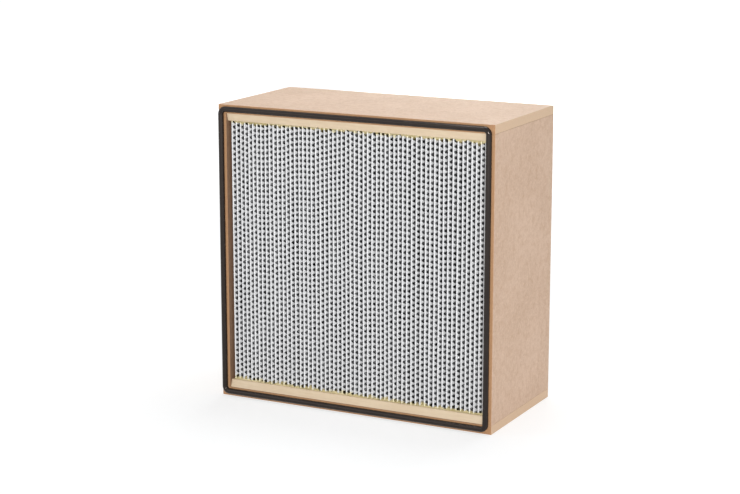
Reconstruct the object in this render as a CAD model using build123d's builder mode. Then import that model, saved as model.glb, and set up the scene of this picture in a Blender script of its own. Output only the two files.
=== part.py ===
from build123d import *
import os

# Deep-pleat air filter: a box frame of fibreboard round a pack of folded glass-fibre paper.
# Millimetres. X runs across the face, +Y from the gasket side to the back, +Z up.
# The origin is the middle of the underside.

# Frame of four boards
frame_width = 610.0
frame_height = 610.0
frame_depth = 292.0
board_thickness = 18.0

# Brads that nail the top and bottom boards to the side boards
brad_width = 1.6
brad_thickness = 1.3
brad_length = 42.0
brad_sunk_depth = 3.0
brads_per_corner = 3
brad_spacing = 105.0

# Gasket cast in one loop on the front edges of the boards
gasket_width = 11.5
gasket_height = 7.7
gasket_inset = 9.4
gasket_shift_left = 2.8
gasket_corner_radius = 10.0

# Pack of pleated paper and corrugated foil separators
pack_front_recess = 11.0
pack_back_recess = 11.0
front_fold_count = 59
front_channel_share = 0.64
media_thickness = 0.46
foil_thickness = 0.25
foil_wave_count = 5

# Potting compound that seals the ends of the pack to the top and bottom boards
potting_height = 15.5
potting_floor = 7.5
potting_board_recess = 2.5
potting_slope = 4.5
potting_edge_radius = 1.2

# Sealant strips between the sides of the pack and the side boards
side_seal_thickness = 4.7
side_seal_recess = 24.0

# Places worked out from the sizes above
front_y = -frame_depth / 2
back_y = frame_depth / 2
inside_width = frame_width - 2 * board_thickness
inside_height = frame_height - 2 * board_thickness
middle_z = frame_height / 2
side_board_x = (frame_width - board_thickness) / 2
top_board_z = frame_height - board_thickness

pack_front_y = front_y + pack_front_recess
pack_back_y = back_y - pack_back_recess
pack_middle_y = (pack_front_y + pack_back_y) / 2
pack_depth = pack_back_y - pack_front_y
pack_width = inside_width - 2 * side_seal_thickness
pack_height = inside_height - 2 * potting_floor

# The sheet runs back and forth between the front and back faces of the pack. Each front fold closes
# one channel that is open at the back, and between two front folds lies one that is open in front.
# A pleat's open width is shared between the two, and the channels that are open in front get more.
wall_count = 2 * front_fold_count
pleat_open_width = (pack_width - wall_count * media_thickness) / (front_fold_count - front_channel_share)
front_channel_width = front_channel_share * pleat_open_width
rear_channel_width = pleat_open_width - front_channel_width
fold_width = rear_channel_width + 2 * media_thickness
pleat_pitch = fold_width + front_channel_width
foil_depth = pack_depth - media_thickness
half_wave = pack_height / (2 * foil_wave_count)

brad_places = GridLocations(2 * side_board_x, brad_spacing, 2, brads_per_corner)


def nailed_board(low_z, middle_x, width, height):
    """One board as deep as the frame, with the brads' holes in it."""
    with BuildPart() as board:
        with BuildSketch(Plane.XY.offset(low_z)):
            with Locations((middle_x, 0)):
                Rectangle(width, frame_depth)
        extrude(amount=height)
        add(frame_brads.part, mode=Mode.SUBTRACT)
    return board


def potting_strip(board_z, away):
    """Strip of compound on the board face at board_z: sloping ends and a pocket that holds the pack."""
    pack_side_z = board_z + away * potting_height
    with BuildPart() as strip:
        with BuildSketch(Plane.YZ):
            with BuildLine():
                Polyline(
                    (front_y + potting_board_recess, board_z),
                    (back_y - potting_board_recess, board_z),
                    (back_y - potting_board_recess - potting_slope, pack_side_z),
                    (front_y + potting_board_recess + potting_slope, pack_side_z),
                    close=True,
                )
            make_face()
        extrude(amount=inside_width / 2, both=True)
        pack_side_edges = strip.edges().filter_by(Axis.X).filter_by_position(Axis.Z, pack_side_z, pack_side_z)
        fillet(pack_side_edges, radius=potting_edge_radius)
        with BuildSketch(Plane.XY.offset(board_z + away * potting_floor)):
            with Locations((0, pack_middle_y)):
                Rectangle(pack_width, pack_depth)
        extrude(amount=away * (potting_height - potting_floor), mode=Mode.SUBTRACT)
    return strip


def side_seal(side):
    """Sealant between one side of the pack and its board, from one potting strip to the other."""
    with BuildPart() as seal:
        with BuildSketch(Plane.XY.offset(board_thickness + potting_height)):
            with Locations((side * (inside_width - side_seal_thickness) / 2, pack_middle_y)):
                Rectangle(side_seal_thickness, pack_depth - 2 * side_seal_recess)
        extrude(amount=inside_height - 2 * potting_height)
    return seal


def foil_profile(channel_width, side):
    """One corrugated foil seen from the front. It swings from wall to wall of its channel."""
    swing = (channel_width - foil_thickness) / 2
    left_points = []
    right_points = []
    for bend in range(2 * foil_wave_count + 1):
        bend_x = side * (-1) ** bend * swing
        bend_z = bend * half_wave - pack_height / 2
        left_points.append((bend_x - foil_thickness / 2, bend_z))
        right_points.append((bend_x + foil_thickness / 2, bend_z))
    with BuildSketch() as profile:
        with BuildLine():
            Polyline(left_points + right_points[::-1], close=True)
        make_face()
    return profile


def corrugated_foils(first_y, count, channel_width):
    """Foils that stand in every other channel. Neighbours start on opposite walls."""
    profiles = (foil_profile(channel_width, 1), foil_profile(channel_width, -1))
    with BuildPart() as foils:
        with BuildSketch(Plane((0, first_y, middle_z), x_dir=(1, 0, 0), z_dir=(0, -1, 0))):
            for first, profile in enumerate(profiles):
                middle = (count - 1) / 2
                with Locations(*[((index - middle) * pleat_pitch, 0) for index in range(first, count, 2)]):
                    add(profile.sketch, clean=False)
        extrude(amount=-foil_depth, clean=False)
    return foils


# Brads, sunk below the faces of the top and bottom boards and filled over
with BuildPart() as frame_brads:
    for up in (1, -1):
        end_plane = Plane.XY.offset(middle_z + up * (frame_height / 2 - brad_sunk_depth))
        with BuildSketch(end_plane):
            with brad_places:
                Rectangle(brad_width, brad_thickness)
        extrude(amount=-up * brad_length)
frame_brads.part.label = "frame_brads"

# Boards. The top and bottom ones run over the ends of the side ones.
frame_bottom = nailed_board(0, 0, frame_width, board_thickness)
frame_bottom.part.label = "frame_bottom"
frame_top = nailed_board(top_board_z, 0, frame_width, board_thickness)
frame_top.part.label = "frame_top"
frame_left = nailed_board(board_thickness, -side_board_x, board_thickness, inside_height)
frame_left.part.label = "frame_left"
frame_right = nailed_board(board_thickness, side_board_x, board_thickness, inside_height)
frame_right.part.label = "frame_right"

# Gasket: a round-topped bead along a rectangle with round corners, laid a little to the left
gasket_left_x = gasket_inset - frame_width / 2 - gasket_shift_left
gasket_right_x = frame_width / 2 - gasket_inset - gasket_shift_left
gasket_top_z = frame_height - gasket_inset
bead_radius = gasket_width / 2
bead_wall = gasket_height - bead_radius
with BuildPart() as front_gasket:
    with BuildLine(Plane.XZ.offset(-front_y)) as gasket_path:
        FilletPolyline(
            (gasket_left_x, gasket_inset),
            (gasket_right_x, gasket_inset),
            (gasket_right_x, gasket_top_z),
            (gasket_left_x, gasket_top_z),
            radius=gasket_corner_radius,
            close=True,
        )
    loop = gasket_path.wire()
    with BuildSketch(Plane(loop @ 0, x_dir=(0, -1, 0), z_dir=loop % 0)):
        with BuildLine():
            Polyline(
                (bead_wall, bead_radius),
                (0, bead_radius),
                (0, -bead_radius),
                (bead_wall, -bead_radius),
            )
            CenterArc((bead_wall, 0), bead_radius, -90, 180)
        make_face()
    sweep(path=loop)
front_gasket.part.label = "front_gasket"

# Paper: one sheet in square folds, with both its ends at the back of the pack
outer_points = []
inner_points = []
for fold in range(front_fold_count):
    left_x = fold * pleat_pitch - pack_width / 2
    right_x = left_x + fold_width
    left_back_y = pack_back_y if fold == 0 else pack_back_y - media_thickness
    right_back_y = pack_back_y if fold == front_fold_count - 1 else pack_back_y - media_thickness
    outer_points.append((left_x, left_back_y))
    outer_points.append((left_x, pack_front_y))
    outer_points.append((right_x, pack_front_y))
    outer_points.append((right_x, right_back_y))
    inner_points.append((left_x + media_thickness, pack_back_y))
    inner_points.append((left_x + media_thickness, pack_front_y + media_thickness))
    inner_points.append((right_x - media_thickness, pack_front_y + media_thickness))
    inner_points.append((right_x - media_thickness, pack_back_y))
with BuildPart() as pleated_media:
    with BuildSketch(Plane.XY.offset(board_thickness + potting_floor)):
        with BuildLine():
            Polyline(outer_points + inner_points[::-1], close=True)
        make_face()
    extrude(amount=pack_height)
pleated_media.part.label = "pleated_media"

# Foil separators, in the channels that are open in front and in those that are open at the back
separators_front = corrugated_foils(pack_front_y, front_fold_count - 1, front_channel_width)
separators_front.part.label = "separators_front"
separators_rear = corrugated_foils(pack_front_y + media_thickness, front_fold_count, rear_channel_width)
separators_rear.part.label = "separators_rear"

# Potting strips at both ends of the pack
potting_bottom = potting_strip(board_thickness, 1)
potting_bottom.part.label = "potting_bottom"
potting_top = potting_strip(top_board_z, -1)
potting_top.part.label = "potting_top"

# Sealant strips at both sides of the pack
side_seal_left = side_seal(-1)
side_seal_left.part.label = "side_seal_left"
side_seal_right = side_seal(1)
side_seal_right.part.label = "side_seal_right"

pieces = (
    frame_top,
    frame_bottom,
    frame_left,
    frame_right,
    frame_brads,
    front_gasket,
    pleated_media,
    separators_front,
    separators_rear,
    potting_top,
    potting_bottom,
    side_seal_left,
    side_seal_right,
)
os.makedirs("parts", exist_ok=True)
for piece in pieces:
    export_step(piece.part, f"parts/{piece.part.label}.step")
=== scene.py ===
import math
import random

import bmesh
import bpy
import numpy as np
from mathutils import Matrix, Vector


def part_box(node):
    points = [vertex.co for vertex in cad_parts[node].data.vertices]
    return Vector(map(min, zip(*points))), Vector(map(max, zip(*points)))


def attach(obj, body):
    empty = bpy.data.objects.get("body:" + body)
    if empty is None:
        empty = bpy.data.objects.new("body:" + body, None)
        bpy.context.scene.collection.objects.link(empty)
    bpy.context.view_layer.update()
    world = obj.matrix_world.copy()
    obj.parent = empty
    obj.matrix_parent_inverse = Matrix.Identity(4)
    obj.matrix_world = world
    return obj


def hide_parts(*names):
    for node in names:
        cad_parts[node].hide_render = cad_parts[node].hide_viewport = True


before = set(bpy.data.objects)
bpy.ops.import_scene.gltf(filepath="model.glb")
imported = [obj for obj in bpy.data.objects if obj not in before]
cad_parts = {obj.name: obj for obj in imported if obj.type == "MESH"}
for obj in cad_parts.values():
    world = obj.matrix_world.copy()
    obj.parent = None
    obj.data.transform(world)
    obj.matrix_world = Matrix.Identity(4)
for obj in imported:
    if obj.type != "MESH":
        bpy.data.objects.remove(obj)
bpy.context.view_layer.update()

# Metres, in the model's own frame: X across the face, +Y to the back, +Z up.
MM = 0.001
SEED = 41


def colour(red, green, blue):
    """A linear colour that is opaque."""
    return (red, green, blue, 1.0)


# Pack: sizes that the frame's boxes don't give
FRONT_FOLDS = 59
FRONT_CHANNEL_SHARE = 0.74
PAPER_THICKNESS = 0.46 * MM
PAPER_FOLD_RADIUS = 1.6 * MM
FOLD_REACH = 0.49
PAPER_CORNER_STEPS = 4
PAPER_TIP = 1.5 * MM
PAPER_LEVELS = 16
FOIL_THICKNESS = 0.1 * MM
FOIL_WAVE_PITCH = 11.1 * MM
FOIL_STEPS_PER_WAVE = 8
FOIL_ROUNDNESS = 0.14
FOIL_LEAN = 0.08
FOIL_REACH = 0.9
FOIL_PITCH_SPREAD = 0.008
FOIL_STAGGER = 2.1
FOIL_STEP_SPREAD = 0.6
FOIL_SET_BACK = 0.8 * MM
CHANNEL_SPREAD = 0.04
CHANNEL_SPREAD_LIMIT = 0.14
PLEAT_BOW = 0.55 * MM

# Waves of the pleats' bow, as turns across the pack and turns up it
BOW_TURNS = ((1.3, 0.8), (3.1, 1.6), (7.7, 0.7))

# Compound that crept over the ends of the pack
RIM_STEP = 1.7 * MM
RIM_LOW = 0.1 * MM
RIM_HIGH = 6.0 * MM
RIM_PROUD = 0.6 * MM
RIM_DEPTH = 1.0 * MM
RIM_ROOT = 0.8 * MM
RIM_RARITY = 2.6
RIM_GAIN = 1.5
POOL_HIGH = 10.0 * MM
POOL_RARITY = 2.2
POOL_SAG = 0.35

# The lip's section, as places outward from the folds and shares of its height there
RIM_SECTION = (
    (RIM_PROUD, 0.35),
    (RIM_PROUD * 0.5, 0.8),
    (-RIM_DEPTH * 0.3, 1.0),
    (-RIM_DEPTH, 0.6),
)

# A pool's profile, as depths from the folds and shares of its height there
POOL_PROFILE = ((1.5 * MM, 0.75), (4.5 * MM, 1.0), (35.0 * MM, 0.7))
POOL_WIDTH = 5

# Boards
BOARD_ARRIS = 0.7 * MM
BOARD_ARRIS_STEPS = 3
# How far past the inner faces of the frame the painted shade reaches
SHADE_MASK_MARGIN = 1.0 * MM

# Gasket
BEAD_WIDTH = 11.5 * MM
BEAD_CORNER_RADIUS = 10.0 * MM
BEAD_PATH_STEP = 4.0 * MM
BEAD_CORNER_STEPS = 14
BEAD_SECTION_STEPS = 20
BEAD_UNEVEN = 0.35 * MM

# Waves of the bead's unevenness: radians for each metre of X and of Z, and multiples of them
BEAD_RUN_ACROSS = 9.0
BEAD_RUN_UP = 7.0
BEAD_HEIGHT_RATES = (1.0, 2.3, 5.1)
BEAD_WIDTH_RATES = (1.7, 3.9, 8.3)

# Wetted ends of paper and foil
STAIN_REACH = 9.0 * MM

# Fibreboard colours
FACE_DEEP = colour(0.637, 0.437, 0.307)
FACE_PALE = colour(0.715, 0.506, 0.370)
FACE_MOTTLE = colour(0.840, 0.637, 0.499)
FACE_STAIN = colour(0.560, 0.340, 0.200)
FACE_FLECK = colour(0.410, 0.250, 0.158)
EDGE_DEEP = colour(0.320, 0.158, 0.068)
EDGE_PALE = colour(0.400, 0.210, 0.098)
EDGE_FIBRE = colour(0.455, 0.268, 0.140)
# Painted shade: the inner faces of the frame, in its recess, are darker
SHADED_INNER_DEEP = colour(0.170, 0.093, 0.051)
SHADED_INNER_PALE = colour(0.238, 0.142, 0.085)
SAWN_DEEP = colour(0.71, 0.49, 0.315)
SAWN_PALE = colour(0.81, 0.60, 0.425)

# Gasket colours
RUBBER_DEEP = colour(0.004, 0.003, 0.003)
RUBBER_PALE = colour(0.009, 0.007, 0.006)
RUBBER_DUST = colour(0.144, 0.133, 0.126)
RUBBER_GLOSS = colour(1.0, 0.84, 0.76)

# Compound colours
CAST_CLOUD = colour(0.686, 0.581, 0.426)
CAST_PIT = colour(0.651, 0.474, 0.261)
CREAM_PALE = colour(0.651, 0.515, 0.362)
CREAM_DEEP = colour(0.586, 0.456, 0.307)
WET_PALE = colour(0.616, 0.522, 0.285)
WET_DEEP = colour(0.296, 0.237, 0.090)
SEALANT_PALE = colour(0.710, 0.544, 0.366)
SEALANT_DEEP = colour(0.616, 0.462, 0.296)

# Paper, foil and wire colours
PAPER_DEEP = colour(0.92, 0.92, 0.925)
PAPER_PALE = colour(0.95, 0.95, 0.95)
# Painted shade that greys the paper's fold tips
TIP_SHADE_DEEP = colour(0.70, 0.70, 0.71)
TIP_SHADE_PALE = colour(0.78, 0.78, 0.79)
PAPER_STAIN = colour(0.80, 0.72, 0.42)
FOIL_DEEP = colour(0.78, 0.785, 0.795)
FOIL_PALE = colour(0.86, 0.865, 0.87)
FOIL_STAIN = colour(0.54, 0.46, 0.21)
WIRE_DEEP = colour(0.42, 0.42, 0.43)
WIRE_PALE = colour(0.6, 0.6, 0.61)

# Stage
FLOOR_SIZE = 24.0
WHITE = colour(1.0, 1.0, 1.0)
FLOOR_COLOUR = colour(0.86, 0.86, 0.86)
FLOOR_SEEN_COLOUR = colour(0.484, 0.484, 0.484)
FLOOR_LIFT_NEAR = 0.6
FLOOR_LIFT_FAR = 0.85
FLOOR_NEAR = 0.8
FLOOR_FAR = 4.0
WORLD_STRENGTH = 0.37

# Lamps, as name, place, size, power in watts and tint
LAMPS = (
    ("key", (2.4, -4.7, 1.4), 1.0, 192.0, (1.0, 1.0, 1.0)),
    ("fill", (-1.8, -3.3, 1.8), 2.0, 9.3, (1.0, 1.0, 1.0)),
    ("overhead", (0.1, 0.9, 3.3), 1.3, 38.0, (0.9, 0.97, 1.0)),
    ("glint", (-0.9, -0.8, 3.3), 0.35, 6.7, (1.0, 1.0, 1.0)),
    ("behind", (-1.6, 4.3, 0.8), 1.4, 45.0, (1.0, 1.0, 1.0)),
)

# Camera, from the corners of the photographed frame
IMAGE_WIDTH = 740
VIEW_AZIMUTH = math.radians(27.26)
VIEW_ELEVATION = math.radians(12.34)
VIEW_DISTANCE = 4.0097
VIEW_RIGHT = 0.0317
VIEW_UP = -0.0109
FOCAL_PIXELS = 1957.1
SENSOR_WIDTH = 36.0


def box_of(node):
    """Low and high corner of a CAD node."""
    low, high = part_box(node)
    return Vector(low), Vector(high)


top_low, top_high = box_of("frame_top")
bottom_low = box_of("frame_bottom")[0]
media_low, media_high = box_of("pleated_media")
gasket_low, gasket_high = box_of("front_gasket")
low_strip_z = box_of("potting_bottom")[1].z
high_strip_z = box_of("potting_top")[0].z
middle = (bottom_low + top_high) / 2
inside_half_width = box_of("side_seal_right")[1].x
inside_half_height = top_low.z - middle.z


# Node helpers

def add_node(tree, kind, inputs=None, **settings):
    """A shader node with its settings, and its inputs as values or as sockets to link."""
    node = tree.nodes.new(kind)
    for name, value in settings.items():
        setattr(node, name, value)
    for key, value in (inputs or {}).items():
        if isinstance(value, bpy.types.NodeSocket):
            tree.links.new(value, node.inputs[key])
        else:
            node.inputs[key].default_value = value
    return node


def new_material(name):
    """A material with its node tree, its shader and its texture coordinates."""
    material = bpy.data.materials.new(name)
    material.use_nodes = True
    tree = material.node_tree
    shader = tree.nodes["Principled BSDF"]
    place = tree.nodes.new("ShaderNodeTexCoord")
    return material, tree, shader, place


def stretched(tree, place, scale):
    """Object coordinates scaled by a different amount along each axis."""
    values = {"Vector": place.outputs["Object"], "Scale": scale}
    return add_node(tree, "ShaderNodeMapping", values).outputs[0]


def axis_parts(tree, vector):
    """The X, Y and Z sockets of a vector."""
    return add_node(tree, "ShaderNodeSeparateXYZ", {"Vector": vector}).outputs


def noise(tree, vector, scale, detail=3.0, roughness=0.55):
    """Noise in the range 0 to 1, with scale lumps to a metre."""
    values = {"Vector": vector, "Scale": scale, "Detail": detail, "Roughness": roughness}
    return add_node(tree, "ShaderNodeTexNoise", values).outputs["Fac"]


def spread(tree, value, low, high, to_low=0.0, to_high=1.0):
    """The value moved from the range low to high into another, and held there."""
    values = {"Value": value, "From Min": low, "From Max": high, "To Min": to_low, "To Max": to_high}
    return add_node(tree, "ShaderNodeMapRange", values).outputs[0]


def mixed(tree, factor, first, second):
    """The first colour at factor 0 and the second at 1."""
    node = add_node(tree, "ShaderNodeMix", data_type="RGBA")
    for socket, value in ((node.inputs[0], factor), (node.inputs[6], first), (node.inputs[7], second)):
        if isinstance(value, bpy.types.NodeSocket):
            tree.links.new(value, socket)
        else:
            socket.default_value = value
    return node.outputs[2]


def maths(tree, operation, first, second=0.0):
    """One step of arithmetic on one or two values."""
    return add_node(tree, "ShaderNodeMath", {0: first, 1: second}, operation=operation).outputs[0]


def bumped(tree, shader, height, strength, distance):
    """Leads a bump of this height into the shader."""
    values = {"Height": height, "Strength": strength, "Distance": distance}
    node = add_node(tree, "ShaderNodeBump", values)
    tree.links.new(node.outputs[0], shader.inputs["Normal"])


# Materials

def recess_shade_mask(tree, place):
    """1 on the inner faces of the frame, where shade is painted, 0 outside."""
    parts = axis_parts(tree, place.outputs["Object"])
    off_side = maths(tree, "ABSOLUTE", parts["X"])
    in_width = maths(tree, "LESS_THAN", off_side, inside_half_width + SHADE_MASK_MARGIN)
    off_middle = maths(tree, "ABSOLUTE", maths(tree, "SUBTRACT", parts["Z"], middle.z))
    in_height = maths(tree, "LESS_THAN", off_middle, inside_half_height + SHADE_MASK_MARGIN)
    return maths(tree, "MULTIPLY", in_width, in_height)


def turned_to(tree, place, axis):
    """1 where the surface looks along the axis, either way, and 0 where it looks aside."""
    values = {0: place.outputs["Normal"], 1: axis}
    look = add_node(tree, "ShaderNodeVectorMath", values, operation="DOT_PRODUCT")
    return spread(tree, maths(tree, "ABSOLUTE", look.outputs["Value"]), 0.6, 0.85)


def fibreboard(name, face_axis, pale_ends):
    """Bare fibreboard, with painted shade on its faces inside the frame. Its pressed faces look along
    face_axis, and the rest are cut edges.

    With pale_ends, the cut ends that look along X are freshly sawn and paler.
    """
    material, tree, shader, place = new_material(name)
    spot = place.outputs["Object"]
    clouds = noise(tree, spot, scale=7.0)
    mottle = noise(tree, spot, scale=190.0, detail=4.0, roughness=0.7)
    fibres = noise(tree, spot, scale=900.0, roughness=0.7)
    blotches = noise(tree, spot, scale=72.0, detail=5.0, roughness=0.68)
    flecks = spread(tree, noise(tree, spot, scale=420.0, detail=2.0), 0.62, 0.72)
    face = mixed(tree, spread(tree, clouds, 0.35, 0.65), FACE_DEEP, FACE_PALE)
    face = mixed(tree, spread(tree, mottle, 0.4, 0.7, 0.0, 0.7), face, FACE_MOTTLE)
    face = mixed(tree, spread(tree, blotches, 0.46, 0.7, 0.0, 0.55), face, FACE_STAIN)
    face = mixed(tree, maths(tree, "MULTIPLY", flecks, 0.45), face, FACE_FLECK)
    edge = mixed(tree, spread(tree, mottle, 0.3, 0.7), EDGE_DEEP, EDGE_PALE)
    edge = mixed(tree, spread(tree, fibres, 0.35, 0.7, 0.0, 0.6), edge, EDGE_FIBRE)
    # Painted shade on the faces inside the frame, where the recess is in shade
    inner = mixed(tree, spread(tree, mottle, 0.3, 0.7), SHADED_INNER_DEEP, SHADED_INNER_PALE)
    pressed = mixed(tree, recess_shade_mask(tree, place), face, inner)
    base = mixed(tree, turned_to(tree, place, face_axis), edge, pressed)
    if pale_ends:
        sawn = mixed(tree, mottle, SAWN_DEEP, SAWN_PALE)
        base = mixed(tree, turned_to(tree, place, (1.0, 0.0, 0.0)), base, sawn)
    tree.links.new(base, shader.inputs["Base Color"])
    tree.links.new(spread(tree, mottle, 0.3, 0.7, 0.58, 0.76), shader.inputs["Roughness"])
    grain = maths(tree, "ADD", fibres, maths(tree, "MULTIPLY", mottle, 0.6))
    bumped(tree, shader, grain, 0.35, 0.12 * MM)
    return material


def cast_rubber():
    """Black cast rubber with a glossy skin and a little dust."""
    material, tree, shader, place = new_material("cast_rubber")
    spot = place.outputs["Object"]
    dust = spread(tree, noise(tree, spot, scale=500.0, detail=4.0, roughness=0.7), 0.55, 0.75)
    soft = noise(tree, spot, scale=45.0, detail=2.0)
    base = mixed(tree, spread(tree, soft, 0.3, 0.7), RUBBER_DEEP, RUBBER_PALE)
    base = mixed(tree, maths(tree, "MULTIPLY", dust, 0.04), base, RUBBER_DUST)
    tree.links.new(base, shader.inputs["Base Color"])
    shader.inputs["Specular IOR Level"].default_value = 0.4
    shader.inputs["Specular Tint"].default_value = RUBBER_GLOSS
    tree.links.new(spread(tree, soft, 0.3, 0.7, 0.1, 0.16), shader.inputs["Roughness"])
    bumped(tree, shader, soft, 0.15, 0.3 * MM)
    return material


def potting_compound(name, light, dark):
    """Cast compound with faint streaks along its length."""
    material, tree, shader, place = new_material(name)
    spot = place.outputs["Object"]
    along = stretched(tree, place, (6.0, 110.0, 110.0))
    streaks = noise(tree, along, scale=4.0, detail=4.0, roughness=0.6)
    clouds = noise(tree, spot, scale=38.0)
    pits = spread(tree, noise(tree, spot, scale=260.0, detail=2.0), 0.66, 0.74)
    base = mixed(tree, spread(tree, streaks, 0.35, 0.68), dark, light)
    base = mixed(tree, spread(tree, clouds, 0.45, 0.7, 0.0, 0.3), base, CAST_CLOUD)
    base = mixed(tree, maths(tree, "MULTIPLY", pits, 0.3), base, CAST_PIT)
    tree.links.new(base, shader.inputs["Base Color"])
    tree.links.new(spread(tree, clouds, 0.3, 0.7, 0.34, 0.5), shader.inputs["Roughness"])
    height = maths(tree, "ADD", streaks, maths(tree, "MULTIPLY", clouds, 0.8))
    bumped(tree, shader, height, 0.3, 0.35 * MM)
    return material


def end_stain(tree, place):
    """1 in the zone that the compound has wetted, near the top and bottom of the pack, and 0 outside."""
    height = axis_parts(tree, place.outputs["Object"])["Z"]
    uneven = noise(tree, stretched(tree, place, (1.0, 0.3, 0.5)), scale=120.0, detail=2.0)
    ragged = spread(tree, uneven, 0.35, 0.7)
    low = maths(tree, "SUBTRACT", height, low_strip_z)
    high = maths(tree, "SUBTRACT", high_strip_z, height)
    near = maths(tree, "MINIMUM", low, high)
    shifted = maths(tree, "SUBTRACT", near, maths(tree, "MULTIPLY", ragged, STAIN_REACH))
    return spread(tree, shifted, -0.1 * STAIN_REACH, 0.2 * STAIN_REACH, 1.0, 0.0)


def glass_paper():
    """White paper with painted shade that greys its fold tips, and stained at its ends."""
    material, tree, shader, place = new_material("glass_paper")
    spot = place.outputs["Object"]
    fibres = noise(tree, spot, scale=1500.0, roughness=0.7)
    clouds = noise(tree, spot, scale=60.0, detail=2.0)
    base = mixed(tree, spread(tree, clouds, 0.3, 0.7), PAPER_DEEP, PAPER_PALE)
    from_middle = maths(tree, "SUBTRACT", axis_parts(tree, spot)["Y"], (media_low.y + media_high.y) / 2)
    off_middle = maths(tree, "ABSOLUTE", from_middle)
    depth = maths(tree, "SUBTRACT", (media_high.y - media_low.y) / 2, off_middle)
    # Painted shade: the fold tips at the front and back are greyed
    tip_shade = spread(tree, depth, PAPER_TIP, 2 * PAPER_TIP, 1.0, 0.0)
    base = mixed(tree, tip_shade, base, mixed(tree, clouds, TIP_SHADE_DEEP, TIP_SHADE_PALE))
    base = mixed(tree, maths(tree, "MULTIPLY", end_stain(tree, place), 0.75), base, PAPER_STAIN)
    tree.links.new(base, shader.inputs["Base Color"])
    tree.links.new(spread(tree, fibres, 0.3, 0.7, 0.82, 0.95), shader.inputs["Roughness"])
    bumped(tree, shader, fibres, 0.3, 0.08 * MM)
    return material


def foil_metal():
    """Bright rolled foil, stained at its ends."""
    material, tree, shader, place = new_material("foil_metal")
    rolled = noise(tree, stretched(tree, place, (1.0, 0.04, 1.0)), scale=700.0, detail=2.0)
    crumple = noise(tree, place.outputs["Object"], scale=90.0)
    base = mixed(tree, spread(tree, crumple, 0.3, 0.7), FOIL_DEEP, FOIL_PALE)
    base = mixed(tree, maths(tree, "MULTIPLY", end_stain(tree, place), 0.8), base, FOIL_STAIN)
    tree.links.new(base, shader.inputs["Base Color"])
    shader.inputs["Metallic"].default_value = 1.0
    tree.links.new(spread(tree, rolled, 0.3, 0.7, 0.12, 0.2), shader.inputs["Roughness"])
    bumped(tree, shader, maths(tree, "ADD", rolled, crumple), 0.2, 0.15 * MM)
    return material


def drawn_wire():
    """Bright steel wire with fine lines along it."""
    material, tree, shader, place = new_material("drawn_wire")
    lines = noise(tree, stretched(tree, place, (1.0, 1.0, 0.1)), scale=3000.0, detail=2.0)
    tree.links.new(mixed(tree, lines, WIRE_DEEP, WIRE_PALE), shader.inputs["Base Color"])
    shader.inputs["Metallic"].default_value = 1.0
    tree.links.new(spread(tree, lines, 0.3, 0.7, 0.3, 0.45), shader.inputs["Roughness"])
    return material


# Mesh helpers

def new_piece(name, vertices, faces, material, smooth_angle):
    """An object that rides on the only body. Edges flatter than smooth_angle degrees are shaded smooth."""
    mesh = bpy.data.meshes.new(name)
    mesh.from_pydata(vertices, [], faces)
    mesh.validate()
    mesh.shade_smooth()
    mesh.set_sharp_from_angle(angle=math.radians(smooth_angle))
    mesh.materials.append(material)
    piece = bpy.data.objects.new(name, mesh)
    bpy.context.scene.collection.objects.link(piece)
    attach(piece, "root")
    return piece


def repaint(node, material):
    """Gives a CAD node a material and leaves its mesh as it is."""
    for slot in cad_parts[node].material_slots:
        slot.material = material


def board_piece(name, node, material):
    """A board of the node's size with its arrises eased, in place of the node."""
    low, high = box_of(node)
    work = bmesh.new()
    bmesh.ops.create_cube(work, size=1.0)
    for vertex in work.verts:
        for axis in range(3):
            vertex.co[axis] = low[axis] if vertex.co[axis] < 0 else high[axis]
    eased = {"offset": BOARD_ARRIS, "segments": BOARD_ARRIS_STEPS, "profile": 0.5, "affect": "EDGES"}
    bmesh.ops.bevel(work, geom=work.edges[:], **eased)
    mesh = bpy.data.meshes.new(name)
    work.to_mesh(mesh)
    work.free()
    mesh.materials.append(material)
    piece = bpy.data.objects.new(name, mesh)
    bpy.context.scene.collection.objects.link(piece)
    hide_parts(node)
    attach(piece, "root")
    return piece


# Pleats

def wall_places(levels):
    """X of the left faces of the paper's walls, one row a wall and one column a level.

    The channels between them are uneven and a little bowed.
    """
    rng = random.Random(SEED)
    walls = 2 * FRONT_FOLDS
    drawn = np.array([rng.gauss(0, CHANNEL_SPREAD) for _ in range(walls - 1)])
    widths = 1 + drawn.clip(-CHANNEL_SPREAD_LIMIT, CHANNEL_SPREAD_LIMIT)
    widths[0::2] *= 1 - FRONT_CHANNEL_SHARE
    widths[1::2] *= FRONT_CHANNEL_SHARE
    widths *= (media_high.x - media_low.x - walls * PAPER_THICKNESS) / widths.sum()
    lefts = media_low.x + np.concatenate([[0.0], np.cumsum(widths + PAPER_THICKNESS)])
    across = ((lefts - lefts[0]) / (lefts[-1] - lefts[0]))[:, None]
    up = ((levels - media_low.z) / (media_high.z - media_low.z))[None, :]
    held = np.sqrt(np.sin(np.pi * across).clip(0)) * np.sin(np.pi * up)
    waves = 0
    for turns_across, turns_up in BOW_TURNS:
        start = rng.uniform(0, 2 * math.pi)
        waves = waves + np.sin(2 * math.pi * (turns_across * across + turns_up * up) + start) / 2
    return lefts[:, None] + PLEAT_BOW * held * waves


def fold_arc(centre_x, centre_y, radius, from_angle, to_angle):
    """Points round a fold's corner. Each x is an array with one value a level."""
    points = []
    for step in range(PAPER_CORNER_STEPS + 1):
        angle = math.radians(from_angle + (to_angle - from_angle) * step / PAPER_CORNER_STEPS)
        points.append((centre_x + radius * math.cos(angle), centre_y + radius * math.sin(angle)))
    return points


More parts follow.
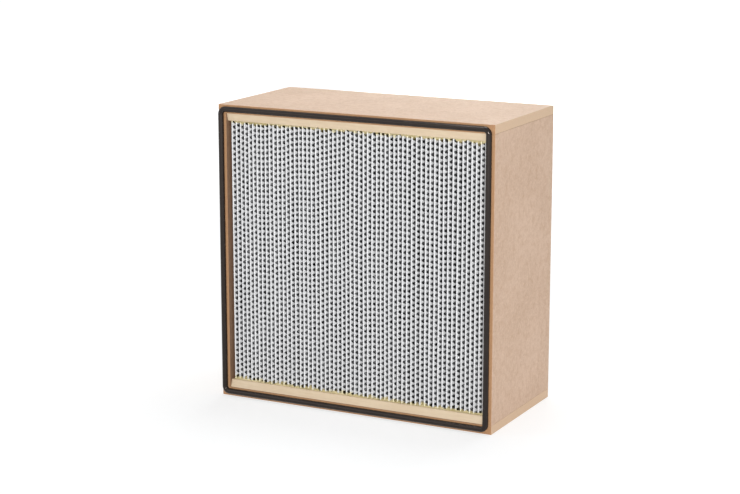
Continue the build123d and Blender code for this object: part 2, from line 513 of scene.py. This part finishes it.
def sheet_side(centres, side):
    """One side of the sheet from end to end.

    Side 1 is the outer side at the front folds, and side -1 at the back ones.
    """
    half = PAPER_THICKNESS / 2
    points = [(centres[0] - side * half, media_high.y)]
    for wall, (left, right) in enumerate(zip(centres, centres[1:])):
        bend = min(PAPER_FOLD_RADIUS, FOLD_REACH * float((right - left).min()))
        if wall % 2 == 0:
            fold_y = media_low.y + half + bend
            radius = bend + side * half
            turns = (180, 270, 360)
        else:
            fold_y = media_high.y - half - bend
            radius = bend - side * half
            turns = (180, 90, 0)
        points += fold_arc(left + bend, fold_y, radius, turns[0], turns[1])
        points += fold_arc(right - bend, fold_y, radius, turns[1], turns[2])
    points.append((centres[-1] + side * half, media_high.y))
    return points


def paper_sheet(material):
    """The folded sheet, between its two sides."""
    centres = walls + PAPER_THICKNESS / 2
    vertices = []
    for side in (1, -1):
        points = sheet_side(centres, side)
        for level, z in enumerate(wall_levels):
            vertices += [(float(x[level]), float(y), float(z)) for x, y in points]
    count = len(points)
    depth = PAPER_LEVELS * count
    faces = []
    for level in range(PAPER_LEVELS - 1):
        row = level * count
        for i in range(row, row + count - 1):
            faces.append((i, i + 1, i + 1 + count, i + count))
            faces.append((i + depth + count, i + depth + count + 1, i + depth + 1, i + depth))
        for i in (row, row + count - 1):
            ends = (i, i + count, i + depth + count, i + depth)
            faces.append(ends if i == row else ends[::-1])
    for row in (0, (PAPER_LEVELS - 1) * count):
        for i in range(row, row + count - 1):
            rim = (i, i + depth, i + depth + 1, i + 1)
            faces.append(rim if row == 0 else rim[::-1])
    piece = new_piece("folded_paper", vertices, faces, material, smooth_angle=60)
    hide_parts("pleated_media")


def foil_group(name, node, first_channel, front_y, back_y, material):
    """Corrugated foils in every other channel, each with its own start and pitch of wave.

    Their front edges are set back by a little, and not all by as much.
    """
    rng = random.Random(SEED + first_channel)
    height = media_high.z - media_low.z
    vertices = []
    faces = []
    start = 0.0
    stagger = FOIL_STAGGER
    for channel in range(first_channel, 2 * FRONT_FOLDS - 1, 2):
        pitch = FOIL_WAVE_PITCH * rng.uniform(1 - FOIL_PITCH_SPREAD, 1 + FOIL_PITCH_SPREAD)
        waves = height / pitch
        start += stagger + rng.gauss(0, FOIL_STEP_SPREAD)
        stagger = -stagger
        ragged = rng.uniform(0, FOIL_SET_BACK)
        steps = round(height / FOIL_WAVE_PITCH * FOIL_STEPS_PER_WAVE)
        share = np.linspace(0, 1, steps + 1)
        levels = media_low.z + share * height
        low_x = np.interp(levels, wall_levels, walls[channel]) + PAPER_THICKNESS
        high_x = np.interp(levels, wall_levels, walls[channel + 1])
        turn = 2 * math.pi * waves * share + start
        swing = np.sin(turn) + FOIL_ROUNDNESS * np.sin(3 * turn) - FOIL_LEAN * np.cos(2 * turn)
        swing = np.clip(swing / FOIL_REACH - FOIL_LEAN / 2, -1, 1)
        x = (low_x + high_x) / 2 + swing * (high_x - low_x - FOIL_THICKNESS) / 2
        base = len(vertices)
        for here, z in zip(x.tolist(), levels.tolist()):
            for edge, y in ((-1, front_y + ragged), (1, front_y + ragged), (1, back_y), (-1, back_y)):
                vertices.append((here + edge * FOIL_THICKNESS / 2, y, z))
        for step in range(steps):
            row = base + 4 * step
            for corner in range(4):
                following = (corner + 1) % 4
                faces.append((row + corner, row + following, row + 4 + following, row + 4 + corner))
        faces.append((base + 3, base + 2, base + 1, base))
        end = base + 4 * steps
        faces.append((end, end + 1, end + 2, end + 3))
    piece = new_piece(name, vertices, faces, material, smooth_angle=60)
    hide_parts(node)


# Compound that crept up the ends of the pack

def crept_heights(rng, count, low, high, reach):
    """A ragged run of heights: single random values smoothed over a few neighbours."""
    values = np.array([rng.random() ** RIM_RARITY for _ in range(count + 2 * reach)])
    kernel = np.ones(2 * reach + 1) / (2 * reach + 1)
    smooth = np.convolve(values, kernel, "valid")
    return low + (high - low) * np.clip(smooth * RIM_GAIN, 0, 1)


def wet_rim(name, edge_z, away, face_y, outward, material):
    """Ragged lip of compound on the folds, along a potting strip. It points away from the strip.

    Both away and outward are 1 or -1: away is up or down, and outward is to the back or the front.
    """
    rng = random.Random(name)
    count = round((media_high.x - media_low.x) / RIM_STEP)
    heights = crept_heights(rng, count + 1, RIM_LOW, RIM_HIGH, 1)
    vertices = []
    for index, height in enumerate(heights.tolist()):
        x = media_low.x + (media_high.x - media_low.x) * index / count
        vertices.append((x, face_y + outward * RIM_PROUD, edge_z - away * RIM_ROOT))
        for place, share in RIM_SECTION:
            vertices.append((x, face_y + outward * place, edge_z + away * height * share))
        vertices.append((x, face_y - outward * RIM_DEPTH, edge_z - away * RIM_ROOT))
    width = len(RIM_SECTION) + 2
    faces = [tuple(range(width)), tuple(range(count * width, (count + 1) * width))[::-1]]
    for index in range(count):
        row = index * width
        for i in range(width):
            j = (i + 1) % width
            faces.append((row + i, row + width + i, row + width + j, row + j))
    if away == outward:
        faces = [face[::-1] for face in faces]
    new_piece(name, vertices, faces, material, smooth_angle=50)


def wet_channels(name, edge_z, away, face_y, inward, first_channel, material):
    """Compound that stands to a different height in each channel that is open at this face."""
    rng = random.Random(name)
    level = 0 if away > 0 else len(wall_levels) - 1
    vertices = []
    faces = []
    for channel in range(first_channel, 2 * FRONT_FOLDS - 1, 2):
        low_x = float(walls[channel][level]) + PAPER_THICKNESS
        high_x = float(walls[channel + 1][level])
        height = POOL_HIGH * rng.random() ** POOL_RARITY
        root_z = edge_z - away * RIM_ROOT
        base = len(vertices)
        for along, rise in POOL_PROFILE:
            y = face_y + inward * along
            top_z = edge_z + away * height * rise
            vertices.append((low_x, y, top_z))
            vertices.append(((low_x + high_x) / 2, y, top_z - away * POOL_SAG * height))
            vertices.append((high_x, y, top_z))
            vertices.append((high_x, y, root_z))
            vertices.append((low_x, y, root_z))
        for step in range(len(POOL_PROFILE) - 1):
            row = base + POOL_WIDTH * step
            for i in range(POOL_WIDTH):
                j = (i + 1) % POOL_WIDTH
                faces.append((row + i, row + j, row + POOL_WIDTH + j, row + POOL_WIDTH + i))
        faces.append(tuple(range(base, base + POOL_WIDTH))[::-1])
        faces.append(tuple(range(len(vertices) - POOL_WIDTH, len(vertices))))
    if away != inward:
        faces = [face[::-1] for face in faces]
    new_piece(name, vertices, faces, material, smooth_angle=50)


# Gasket

def bead_path():
    """Points along the bead's middle line, as x, z and the angle in which its outer side looks."""
    half = BEAD_WIDTH / 2
    radius = BEAD_CORNER_RADIUS
    low_x, high_x = gasket_low.x + half + radius, gasket_high.x - half - radius
    low_z, high_z = gasket_low.z + half + radius, gasket_high.z - half - radius
    corners = ((high_x, low_z, -90), (high_x, high_z, 0), (low_x, high_z, 90), (low_x, low_z, 180))
    path = []
    for index, (x, z, first) in enumerate(corners):
        for step in range(BEAD_CORNER_STEPS + 1):
            angle = math.radians(first + 90 * step / BEAD_CORNER_STEPS)
            path.append((x + radius * math.cos(angle), z + radius * math.sin(angle), angle))
        next_x, next_z = corners[(index + 1) % len(corners)][:2]
        angle = math.radians(first + 90)
        here_x, here_z = path[-1][:2]
        ahead_x = next_x + radius * math.cos(angle)
        ahead_z = next_z + radius * math.sin(angle)
        pieces = int(math.dist((here_x, here_z), (ahead_x, ahead_z)) / BEAD_PATH_STEP)
        for step in range(1, pieces):
            share = step / pieces
            path.append((here_x + (ahead_x - here_x) * share, here_z + (ahead_z - here_z) * share, angle))
    return path


def mean_of_waves(run, rates, starts):
    """The mean of some sine waves, which lies between -1 and 1."""
    return sum(math.sin(run * rate + start) for rate, start in zip(rates, starts)) / len(rates)


def gasket_bead(material):
    """The cast bead along its rounded rectangle, with a slightly uneven height and width."""
    rng = random.Random(SEED + 7)
    height_starts = [rng.uniform(0, 2 * math.pi) for _ in BEAD_HEIGHT_RATES]
    width_starts = [rng.uniform(0, 2 * math.pi) for _ in BEAD_WIDTH_RATES]
    half = BEAD_WIDTH / 2
    back_y = gasket_high.y
    height = gasket_high.y - gasket_low.y
    wall = height - half
    path = bead_path()
    vertices = []
    for x, z, angle in path:
        run = x * BEAD_RUN_ACROSS + z * BEAD_RUN_UP
        low = mean_of_waves(run, BEAD_HEIGHT_RATES, height_starts)
        wide = mean_of_waves(run, BEAD_WIDTH_RATES, width_starts)
        crown = height - BEAD_UNEVEN * (1 + low) / 2
        reach = half - BEAD_UNEVEN * (1 + wide) / 4
        section = [(-reach, 0.0)]
        for step in range(BEAD_SECTION_STEPS + 1):
            turn = math.pi * (1 - step / BEAD_SECTION_STEPS)
            section.append((reach * math.cos(turn), wall + (crown - wall) * math.sin(turn)))
        section.append((reach, 0.0))
        for across, out in section:
            vertices.append((x + across * math.cos(angle), back_y - out, z + across * math.sin(angle)))
    width = len(section)
    faces = []
    for index in range(len(path)):
        row = index * width
        following = (index + 1) % len(path) * width
        for i in range(width):
            j = (i + 1) % width
            faces.append((row + i, row + j, following + j, following + i))
    piece = new_piece("gasket_bead", vertices, faces, material, smooth_angle=50)
    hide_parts("front_gasket")


# Pieces

board_across = fibreboard("fibreboard_level", (0.0, 0.0, 1.0), True)
board_upright = fibreboard("fibreboard_upright", (1.0, 0.0, 0.0), False)
board_piece("board_top", "frame_top", board_across)
board_piece("board_bottom", "frame_bottom", board_across)
board_piece("board_left", "frame_left", board_upright)
board_piece("board_right", "frame_right", board_upright)
repaint("frame_brads", drawn_wire())

gasket_bead(cast_rubber())

wall_levels = np.linspace(media_low.z, media_high.z, PAPER_LEVELS)
walls = wall_places(wall_levels)
paper_sheet(glass_paper())
foil = foil_metal()
foil_group("foils_front", "separators_front", 1, media_low.y, media_high.y - PAPER_THICKNESS, foil)
foil_group("foils_rear", "separators_rear", 0, media_low.y + PAPER_THICKNESS, media_high.y, foil)

compound = potting_compound("potting_cream", CREAM_PALE, CREAM_DEEP)
repaint("potting_top", compound)
repaint("potting_bottom", compound)
wet = potting_compound("wet_compound", WET_PALE, WET_DEEP)
for end, edge_z, away in (("low", low_strip_z, 1), ("high", high_strip_z, -1)):
    wet_rim(f"wet_rim_{end}_front", edge_z, away, media_low.y, -1, wet)
    wet_rim(f"wet_rim_{end}_rear", edge_z, away, media_high.y, 1, wet)
    wet_channels(f"wet_pools_{end}_front", edge_z, away, media_low.y, 1, 1, wet)
    wet_channels(f"wet_pools_{end}_rear", edge_z, away, media_high.y, -1, 0, wet)
sealant = potting_compound("side_sealant", SEALANT_PALE, SEALANT_DEEP)
repaint("side_seal_left", sealant)
repaint("side_seal_right", sealant)


# Floor, backdrop and light

def lit_for_camera(tree, first, second):
    """The second shader for rays from the camera, mirrors and glass, and the first for all others."""
    path = tree.nodes.new("ShaderNodeLightPath")
    seen = maths(tree, "MAXIMUM", path.outputs["Is Camera Ray"], path.outputs["Is Glossy Ray"])
    seen = maths(tree, "MAXIMUM", seen, path.outputs["Is Transmission Ray"])
    mix = tree.nodes.new("ShaderNodeMixShader")
    tree.links.new(seen, mix.inputs[0])
    tree.links.new(first, mix.inputs[1])
    tree.links.new(second, mix.inputs[2])
    return mix.outputs[0]


def floor():
    """A pale floor that keeps its shadows and turns white further out, where the camera sees it."""
    mesh = bpy.data.meshes.new("floor")
    size = FLOOR_SIZE / 2
    corners = [(-size, -size, 0), (size, -size, 0), (size, size, 0), (-size, size, 0)]
    mesh.from_pydata(corners, [], [(0, 1, 2, 3)])
    piece = bpy.data.objects.new("floor", mesh)
    piece.location.z = bottom_low.z
    bpy.context.scene.collection.objects.link(piece)
    material = bpy.data.materials.new("floor_paper")
    material.use_nodes = True
    tree = material.node_tree
    tree.nodes.remove(tree.nodes["Principled BSDF"])
    plain = add_node(tree, "ShaderNodeBsdfDiffuse", {"Color": FLOOR_COLOUR}).outputs[0]
    place = tree.nodes.new("ShaderNodeTexCoord").outputs["Object"]
    away = add_node(tree, "ShaderNodeVectorMath", {0: place}, operation="LENGTH").outputs["Value"]
    strength = spread(tree, away, FLOOR_NEAR, FLOOR_FAR, FLOOR_LIFT_NEAR, FLOOR_LIFT_FAR)
    lift = add_node(tree, "ShaderNodeEmission", {"Color": WHITE, "Strength": strength}).outputs[0]
    shaded = add_node(tree, "ShaderNodeBsdfDiffuse", {"Color": FLOOR_SEEN_COLOUR}).outputs[0]
    bright = add_node(tree, "ShaderNodeAddShader", {0: shaded, 1: lift}).outputs[0]
    tree.links.new(lit_for_camera(tree, plain, bright), tree.nodes["Material Output"].inputs["Surface"])
    mesh.materials.append(material)


def surroundings():
    """Soft white light from all sides, with a white backdrop for the camera."""
    world = bpy.data.worlds.new("studio")
    bpy.context.scene.world = world
    world.use_nodes = True
    tree = world.node_tree
    ambient = tree.nodes["Background"]
    ambient.inputs["Color"].default_value = WHITE
    ambient.inputs["Strength"].default_value = WORLD_STRENGTH
    white = add_node(tree, "ShaderNodeBackground", {"Color": WHITE, "Strength": 1.0}).outputs[0]
    shown = lit_for_camera(tree, ambient.outputs[0], white)
    tree.links.new(shown, tree.nodes["World Output"].inputs["Surface"])


def softbox(name, place, size, power, tint):
    """A square lamp that looks at the middle of the object."""
    lamp = bpy.data.lights.new(name, "AREA")
    lamp.size = size
    lamp.energy = power
    lamp.color = tint
    piece = bpy.data.objects.new(name, lamp)
    piece.location = place
    piece.rotation_euler = (middle - Vector(place)).to_track_quat("-Z", "Y").to_euler()
    bpy.context.scene.collection.objects.link(piece)


def camera():
    """The camera at the photograph's view."""
    back = Vector((
        math.sin(VIEW_AZIMUTH) * math.cos(VIEW_ELEVATION),
        -math.cos(VIEW_AZIMUTH) * math.cos(VIEW_ELEVATION),
        math.sin(VIEW_ELEVATION),
    ))
    right = Vector((math.cos(VIEW_AZIMUTH), math.sin(VIEW_AZIMUTH), 0.0))
    up = back.cross(right)
    data = bpy.data.cameras.new("camera")
    data.sensor_width = SENSOR_WIDTH
    data.lens = FOCAL_PIXELS / IMAGE_WIDTH * SENSOR_WIDTH
    piece = bpy.data.objects.new("camera", data)
    turn = Matrix((right, up, back)).transposed().to_4x4()
    place = middle + back * VIEW_DISTANCE - right * VIEW_RIGHT - up * VIEW_UP
    piece.matrix_world = Matrix.Translation(place) @ turn
    bpy.context.scene.collection.objects.link(piece)
    bpy.context.scene.camera = piece


floor()
surroundings()
for lamp_values in LAMPS:
    softbox(*lamp_values)
camera()

scene = bpy.context.scene
scene.view_settings.view_transform = "Standard"
